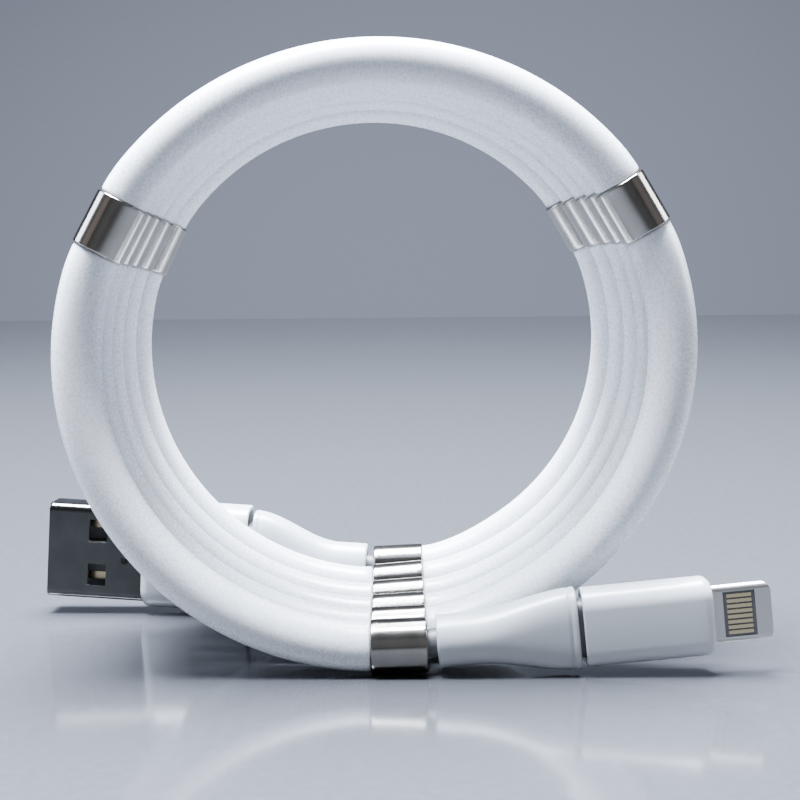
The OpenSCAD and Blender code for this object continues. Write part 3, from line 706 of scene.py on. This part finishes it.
def sleeve_mesh():
    """The outer skin without its four windows, which a modifier thickens to the sheet."""
    grid = sleeve_points()
    rows, around = grid.shape[:2]
    faces = grid_faces(rows, around)
    mid = grid.reshape(-1, 3)[faces].mean(axis=1)
    in_x = (mid[:, 0] > WINDOW_X[0]) & (mid[:, 0] < WINDOW_X[1])
    in_z = (np.abs(mid[:, 2]) > WINDOW_Z[0]) & (np.abs(mid[:, 2]) < WINDOW_Z[1])
    on_flat = np.abs(mid[:, 1]) > SLEEVE_T / 2 - SLEEVE_R / 2
    points = grid.reshape(-1, 3) @ CHARGER_SPIN.T + charger_mouth
    piece = make_mesh("folded_sleeve", points, faces[~(in_x & in_z & on_flat)])
    wall = piece.modifiers.new("sheet", "SOLIDIFY")
    wall.thickness = SHEET * MM
    wall.offset = -1
    wall.use_even_offset = True
    edge = piece.modifiers.new("broken_edges", "BEVEL")
    edge.width = SHEET_EDGE * MM
    edge.segments = 2
    edge.limit_method = "ANGLE"
    edge.angle_limit = math.radians(EDGE_ANGLE)
    flat = piece.modifiers.new("flat_faces", "WEIGHTED_NORMAL")
    flat.keep_sharp = True
    return piece


def rolled_stainless():
    """Bright-rolled stainless strip: a mirror with faint rolling lines and finger haze, its colour
    darkened with painted shade.
    """
    mat, tree, shader, place = new_material("rolled_stainless_painted_shade", {"Metallic": 1.0})
    drawn = add_node(tree, "ShaderNodeMapping", {"Vector": place, "Scale": (0.06, 1.0, 1.0)})
    lines = add_node(tree, "ShaderNodeTexNoise", {
        "Vector": drawn.outputs["Vector"], "Scale": 1 / (0.16 * MM), "Detail": 3.0})
    smear = add_node(tree, "ShaderNodeTexNoise", {
        "Vector": place, "Scale": 1 / (3 * MM), "Detail": 4.0})
    # Both tones are far darker than stainless steel: painted shade over the whole sleeve
    tone = add_node(tree, "ShaderNodeMix", {
        MIX_BY: smear.outputs["Fac"], MIX_A: linear("454645"), MIX_B: linear("585957")},
        data_type="RGBA")
    finish(tree, shader, tone.outputs[MIX_OUT],
           rough=(smear.outputs["Fac"], 0.1, 0.28), relief=(lines.outputs["Fac"], 0.006, 0.15))
    return mat


dress(polymer, "charger_tongue")
dress(gold, *(f"charger_contact_{pin}" for pin in ("power", "minus", "plus", "ground")))
sleeve = sleeve_mesh()
sleeve.data.materials.append(rolled_stainless())
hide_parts("charger_sleeve")

# ---------------------------------------------------------------- boots
# The flexible strain reliefs are moulded over the core in a satin white elastomer. Each one
# flares from a round mouth to the outline of its hard casing and ends in a fine raised rim.
PHONE_BOOT = {"length": 16.0, "w": 9.2, "t": 5.4}
CHARGER_BOOT = {"length": 15.2, "w": 13.0, "t": 6.7}
MOUTH_D = 6.0
FLARE_START = 0.25
END_POWER = 3.2
LIP_R = 0.3
LIP_STEPS = 6
FLARE_GAP = 0.95
FLARE_STEPS = 44
BOOT_SIDES = 80
ROUND_POWER = 2.0
BORE_D = CORE_D + 0.2
POCKET_DEPTH = 2.0
POCKET_LESS = (2.4, 1.6)
POCKET_DRAFT = 0.2
# The end rim's stations: how far before the end, and how much less high and thick than the boot
RIM_STATIONS = ((0.82, 0.2), (0.7, 0.2), (0.6, 0.0), (0.15, 0.0), (0.04, 0.1), (0.0, 0.34))


def smooth(u):
    """A step from 0 to 1 that starts and ends level: three u squared less two u cubed."""
    v = np.clip(u, 0, 1)
    return v * v * (3 - 2 * v)


def outline(w, t, n, count):
    """A rounded outline, t thick in y and w high in z: a superellipse of power n."""
    a = np.linspace(0, 2 * np.pi, count, endpoint=False)
    y, z = (np.sign(c) * np.abs(c) ** (2 / n) for c in (np.cos(a), np.sin(a)))
    return np.stack([t / 2 * y, w / 2 * z], -1)


def boot_stations(length, w, t):
    """x, height, thickness and power of the outline at each station.

    They run from the mouth's rounded lip along the flare to the end rim, and back through the inside.
    """
    a = np.linspace(0, np.pi / 2, LIP_STEPS)[:-1]
    lip_d = MOUTH_D - 2 * LIP_R * (1 - np.sin(a))
    lip = np.stack([LIP_R * (1 - np.cos(a)), lip_d, lip_d, np.full(len(a), ROUND_POWER)], -1)
    x = np.linspace(LIP_R, length - FLARE_GAP, FLARE_STEPS)
    f = smooth((x / length - FLARE_START) / (1 - FLARE_START))[:, None]
    mouth, end = np.array([MOUTH_D, MOUTH_D, ROUND_POWER]), np.array([w, t, END_POWER])
    flare = np.column_stack([x, mouth + (end - mouth) * f])
    rim = [(length - before, w - less, t - less, END_POWER) for before, less in RIM_STATIONS]
    pocket_w, pocket_t = w - POCKET_LESS[0], t - POCKET_LESS[1]
    inside = [
        (length, pocket_w, pocket_t, END_POWER),
        (length - POCKET_DEPTH, pocket_w - POCKET_DRAFT, pocket_t - POCKET_DRAFT, END_POWER),
        (GRIP_LEN, BORE_D, BORE_D, ROUND_POWER),
        (0.0, BORE_D, BORE_D, ROUND_POWER),
    ]
    return np.concatenate([lip, flare, rim, inside])


def boot_mesh(name, node, sizes, spin_m, mouth):
    """A closed skin through the boot's stations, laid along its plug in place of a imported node."""
    rows = boot_stations(**sizes)
    grid = np.array([np.column_stack([np.full(BOOT_SIDES, x), outline(w, t, n, BOOT_SIDES)])
                     for x, w, t, n in rows])
    faces = grid_faces(len(rows), BOOT_SIDES, closed_rows=True)[:, ::-1]
    piece = make_mesh(name, grid.reshape(-1, 3) @ spin_m.T + mouth, faces)
    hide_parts(node)
    return piece


def satin_elastomer():
    """Thermoplastic elastomer from a spark-eroded mould: pale grey-white, satin, finely matted."""
    mat, tree, shader, place = new_material("satin_elastomer_moulding", {
        "IOR": 1.48,
        "Subsurface Weight": 0.1,
        "Subsurface Radius": (1.0, 0.98, 0.95),
        "Subsurface Scale": 0.5 * MM,
        "Specular IOR Level": 0.55,
    })
    matt = add_node(tree, "ShaderNodeTexNoise", {
        "Vector": place, "Scale": 1 / (0.16 * MM), "Detail": 2.0})
    cloud = add_node(tree, "ShaderNodeTexNoise", {
        "Vector": place, "Scale": 1 / (5 * MM), "Detail": 2.0})
    tone = add_node(tree, "ShaderNodeMix", {
        MIX_BY: cloud.outputs["Fac"], MIX_A: linear("94989c"), MIX_B: linear("a0a4a8")},
        data_type="RGBA")
    finish(tree, shader, tone.outputs[MIX_OUT],
           rough=(matt.outputs["Fac"], 0.28, 0.42), relief=(matt.outputs["Fac"], 0.02, 0.25))
    return mat


elastomer = satin_elastomer()
phone_boot = boot_mesh(
    "phone_strain_relief", "phone_boot", PHONE_BOOT, PHONE_SPIN, phone_mouth)
charger_boot = boot_mesh(
    "charger_strain_relief", "charger_boot", CHARGER_BOOT, CHARGER_SPIN, charger_mouth)
for boot in (phone_boot, charger_boot):
    boot.data.materials.append(elastomer)

# ---------------------------------------------------------------- casings
# The hard casings are injection-moulded in white ABS and slid over the inner moulding. All
# edges are rounded, and the front face has a slot that fits the metal part closely.
GROOVE = 0.6
PHONE_CASING = {
    "start": PHONE_BOOT["length"] + GROOVE, "length": 14.7, "w": 8.9, "t": 5.3,
    "edge": 2.2, "nose": 1.2, "slot_w": 6.86, "slot_t": 1.66}
CHARGER_CASING = {
    "start": CHARGER_BOOT["length"] + GROOVE, "length": 14.0, "w": 14.0, "t": 7.2,
    "edge": 2.4, "nose": 1.3, "slot_w": 12.16, "slot_t": 4.66}
WALL = 0.65
INNER_R = 1.2
BACK_R = 0.2
BACK_IN = 0.6
BACK_INNER_R = 1.25
QUARTER_STEPS = 11
END_STEPS = 9
SIDE_STEPS = 8
EDGE_SHRINK = 0.7
SLOT_ROUND = 0.4
SLOT_BEVEL = 0.05
SLOT_BEVEL_X = 0.06
FRONT_WALL = 1.3
FRONT_SLOPE = 0.1


def rounded_rect(w, t, r):
    """A rectangle, t thick in y and w high in z, whose corners are quarter circles of radius r."""
    a = np.linspace(0, np.pi / 2, QUARTER_STEPS)[None] + np.arange(4)[:, None] * np.pi / 2
    side_y, side_z = np.array([[1], [-1], [-1], [1]]), np.array([[1], [1], [-1], [-1]])
    y = side_y * (t / 2 - r) + r * np.cos(a)
    z = side_z * (w / 2 - r) + r * np.sin(a)
    return np.stack([y.ravel(), z.ravel()], -1)


def casing_mesh(name, node, start, length, w, t, edge, nose, slot_w, slot_t, spin_m, mouth):
    """A rounded box whose section shrinks by a quarter circle at each end and turns into the slot.

    From the slot the skin runs back along the inside of the walls to the open back end.
    """
    end = start + length
    a = np.linspace(0, np.pi / 2, END_STEPS)
    side_x = np.linspace(start + BACK_R, end - nose, SIDE_STEPS)[1:-1]
    x = np.concatenate([start + BACK_R * (1 - np.cos(a)), side_x, end - nose + nose * np.sin(a)])
    inset = np.concatenate([BACK_R * (1 - np.sin(a)), np.zeros(len(side_x)), nose * (1 - np.cos(a))])
    sections = [(x_i, rounded_rect(w - 2 * d, t - 2 * d, edge - EDGE_SHRINK * d))
                for x_i, d in zip(x, inset)]
    slot_r = slot_t * SLOT_ROUND
    slot = rounded_rect(slot_w, slot_t, slot_r)
    inner = rounded_rect(w - 2 * WALL, t - 2 * WALL, INNER_R)
    sections += [
        (end, rounded_rect(slot_w + 2 * SLOT_BEVEL, slot_t + 2 * SLOT_BEVEL, slot_r)),
        (end - SLOT_BEVEL_X, slot),
        (end - FRONT_WALL, slot),
        (end - FRONT_WALL - FRONT_SLOPE, inner),
        (start + BACK_R, inner),
        (start, rounded_rect(w - 2 * BACK_IN, t - 2 * BACK_IN, BACK_INNER_R)),
    ]
    grid = np.array([np.column_stack([np.full(len(s), x_i), s]) for x_i, s in sections])
    faces = grid_faces(len(sections), grid.shape[1], closed_rows=True)[:, ::-1]
    piece = make_mesh(name, grid.reshape(-1, 3) @ spin_m.T + mouth, faces)
    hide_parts(node)
    return piece


def satin_abs():
    """White ABS with a fine satin texture: cool white, soft highlights, barely uneven."""
    mat, tree, shader, place = new_material("satin_white_abs", {
        "IOR": 1.52,
        "Subsurface Weight": 0.06,
        "Subsurface Radius": (1.0, 0.98, 0.95),
        "Subsurface Scale": 0.5 * MM,
        "Coat Weight": 0.15,
        "Coat Roughness": 0.25,
    })
    matt = add_node(tree, "ShaderNodeTexNoise", {
        "Vector": place, "Scale": 1 / (0.12 * MM), "Detail": 2.0})
    cloud = add_node(tree, "ShaderNodeTexNoise", {
        "Vector": place, "Scale": 1 / (6 * MM), "Detail": 2.0})
    tone = add_node(tree, "ShaderNodeMix", {
        MIX_BY: cloud.outputs["Fac"], MIX_A: linear("9ea2a6"), MIX_B: linear("a9adb1")},
        data_type="RGBA")
    finish(tree, shader, tone.outputs[MIX_OUT],
           rough=(matt.outputs["Fac"], 0.24, 0.36), relief=(matt.outputs["Fac"], 0.01, 0.15))
    return mat


white_abs = satin_abs()
phone_casing = casing_mesh(
    "phone_hard_casing", "phone_casing", spin_m=PHONE_SPIN, mouth=phone_mouth, **PHONE_CASING)
charger_casing = casing_mesh(
    "charger_hard_casing", "charger_casing", spin_m=CHARGER_SPIN, mouth=charger_mouth,
    **CHARGER_CASING)
for casing in (phone_casing, charger_casing):
    casing.data.materials.append(white_abs)

# ---------------------------------------------------------------- floor and light
# A plain worktop of polished grey stone ends at a plain wall in matt paint. Dark cards beside
# and behind the camera give the plated rings something to mirror.
FLOOR_HALF = 1.4
FLOOR_FRONT = -0.7
WALL_Y = 0.95
WALL_H = 1.5
WORLD_STRENGTH = 0.3


def stage_plane(name, corners):
    """A flat rectangle of the stage through four corners in metres."""
    mesh = bpy.data.meshes.new(name)
    mesh.from_pydata(corners, [], [(0, 1, 2, 3)])
    plane = bpy.data.objects.new(name, mesh)
    bpy.context.collection.objects.link(plane)
    return plane


def polished_stone():
    """Polished engineered stone: plain grey that mirrors what stands on it, slightly blurred."""
    mat, tree, shader, place = new_material("polished_pale_stone", {"IOR": 1.55})
    fleck = add_node(tree, "ShaderNodeTexNoise", {
        "Vector": place, "Scale": 1 / (1.2 * MM), "Detail": 4.0})
    tone = add_node(tree, "ShaderNodeMix", {
        MIX_BY: fleck.outputs["Fac"], MIX_A: linear("303134"), MIX_B: linear("3a3b3e")},
        data_type="RGBA")
    finish(tree, shader, tone.outputs[MIX_OUT],
           rough=(fleck.outputs["Fac"], 0.09, 0.13), relief=(fleck.outputs["Fac"], 0.01, 0.02))
    return mat


def matt_paint():
    """Matt wall paint from a roller: even grey without a highlight."""
    mat, tree, shader, place = new_material("matt_wall_paint", {"Specular IOR Level": 0.2})
    roller = add_node(tree, "ShaderNodeTexNoise", {
        "Vector": place, "Scale": 1 / (2 * MM), "Detail": 2.0})
    tone = add_node(tree, "ShaderNodeMix", {
        MIX_BY: roller.outputs["Fac"], MIX_A: linear("3f4146"), MIX_B: linear("45474c")},
        data_type="RGBA")
    finish(tree, shader, tone.outputs[MIX_OUT],
           rough=(roller.outputs["Fac"], 0.85, 0.95), relief=(roller.outputs["Fac"], 0.05, 0.1))
    return mat


X, Y = FLOOR_HALF, WALL_Y
worktop = stage_plane("worktop", [(-X, FLOOR_FRONT, 0), (X, FLOOR_FRONT, 0), (X, Y, 0), (-X, Y, 0)])
worktop.data.materials.append(polished_stone())
wall = stage_plane("wall", [(-X, Y, 0), (X, Y, 0), (X, Y, WALL_H), (-X, Y, WALL_H)])
wall.data.materials.append(matt_paint())


def aimed(thing, place, aim):
    """Puts a light or a card at its place in metres with its face towards aim."""
    thing.location = place
    thing.rotation_euler = (Vector(aim) - Vector(place)).to_track_quat("-Z", "Y").to_euler()
    bpy.context.collection.objects.link(thing)
    return thing


def softbox(name, place, aim, size, watts, colour):
    """A rectangular light of that width and height in metres, pointed at aim."""
    light = bpy.data.lights.new(name, "AREA")
    light.shape = "RECTANGLE"
    light.size, light.size_y = size
    light.energy = watts
    light.color = linear(colour)[:3]
    return aimed(bpy.data.objects.new(name, light), place, aim)


def card(name, place, aim, size, colour):
    """A plain studio card of that width and height in metres, facing aim."""
    mesh = bpy.data.meshes.new(name)
    w, h = size[0] / 2, size[1] / 2
    mesh.from_pydata([(-w, -h, 0), (w, -h, 0), (w, h, 0), (-w, h, 0)], [], [(0, 3, 2, 1)])
    board = new_material(f"{name}_board", {"Base Color": linear(colour), "Roughness": 0.9})[0]
    mesh.materials.append(board)
    aimed(bpy.data.objects.new(name, mesh), place, aim)


softbox("ceiling_light", (-0.06, 0.08, 0.6), (0, 0, 0.02), (0.5, 0.3), 150.0, "eaf2ff")
softbox("left_light", (-0.6, 0.15, 0.3), (0, 0, 0.03), (0.3, 0.4), 6.0, "dfeaff")
softbox("right_light", (0.6, 0.15, 0.3), (0, 0, 0.03), (0.3, 0.4), 5.0, "f4f7ff")
card("back_card", (0.0, -0.75, 0.35), (0, 0, 0.05), (1.4, 0.5), "2b2a29")
card("left_card", (-0.5, -0.32, 0.12), (0, 0, 0.04), (0.25, 0.4), "21160d")
card("right_card", (0.5, -0.32, 0.12), (0, 0, 0.04), (0.25, 0.4), "1a130e")

world = bpy.data.worlds.new("studio")
bpy.context.scene.world = world
world.use_nodes = True
backing = world.node_tree.nodes["Background"]
backing.inputs["Color"].default_value = linear("b9bdc4")
backing.inputs["Strength"].default_value = WORLD_STRENGTH
